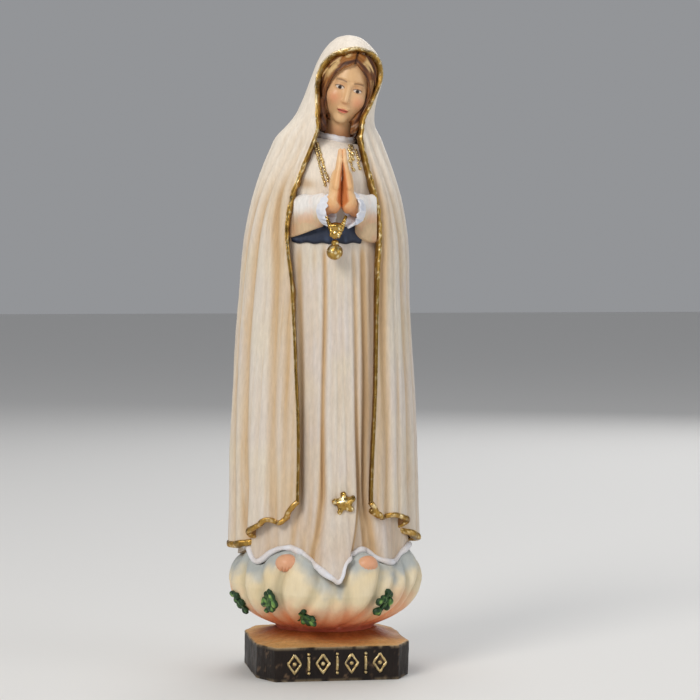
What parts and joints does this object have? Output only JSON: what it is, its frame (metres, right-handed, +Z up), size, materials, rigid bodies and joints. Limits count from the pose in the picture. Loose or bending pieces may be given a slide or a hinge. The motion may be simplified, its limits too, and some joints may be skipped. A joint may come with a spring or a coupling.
{
  "type": "madonna statuette",
  "caption": "Painted wooden statuette of a praying woman in a long hooded mantle, standing on a lobed cloud above an eight-sided plinth.",
  "frame": {"origin": "middle of the plinth's flat underside", "axes": "+Z up; the figure faces -Y; its right hand is on the -X side"},
  "size_m": [0.0372, 0.0337, 0.1202],
  "materials": {
    "cream_paint": "matt paint, stained in the folds",
    "gown_paint": "matt paint, stained in the folds",
    "white_paint": "matt paint",
    "gilding": "hand-painted gold",
    "skin_paint": "satin paint",
    "hair_paint": "matt paint",
    "blue_paint": "matt paint",
    "cloud_paint": "satin paint with shaded grooves",
    "leaf_paint": "satin paint",
    "stained_wood": "dark stain on the sides, bare top",
    "bare_wood": "bare"
  },
  "bodies": {
    "root": {"plinth": "stained_wood", "plinth_dowel": "bare_wood", "figure_dowel": "bare_wood", "cloud": "cloud_paint", "leaf_1": "leaf_paint", "leaf_2": "leaf_paint", "leaf_3": "leaf_paint", "leaf_4": "leaf_paint", "leaf_5": "leaf_paint", "leaf_6": "leaf_paint", "leaf_7": "leaf_paint", "gown": "gown_paint", "gown_hem_band": "white_paint", "right_foot": "skin_paint", "left_foot": "skin_paint", "star": "gilding", "sash": "blue_paint", "mantle": "cream_paint", "mantle_edging": "gilding", "mantle_hem_edging": "gilding", "right_sleeve": "cream_paint", "left_sleeve": "cream_paint", "right_cuff": "white_paint", "left_cuff": "white_paint", "right_hand": "skin_paint", "left_hand": "skin_paint", "head": "skin_paint", "hair": "hair_paint", "collar": "white_paint", "right_chain": "gilding", "left_chain": "gilding", "pendant": "gilding", "pendant_cord": "gilding"}
  },
  "joints": []
}
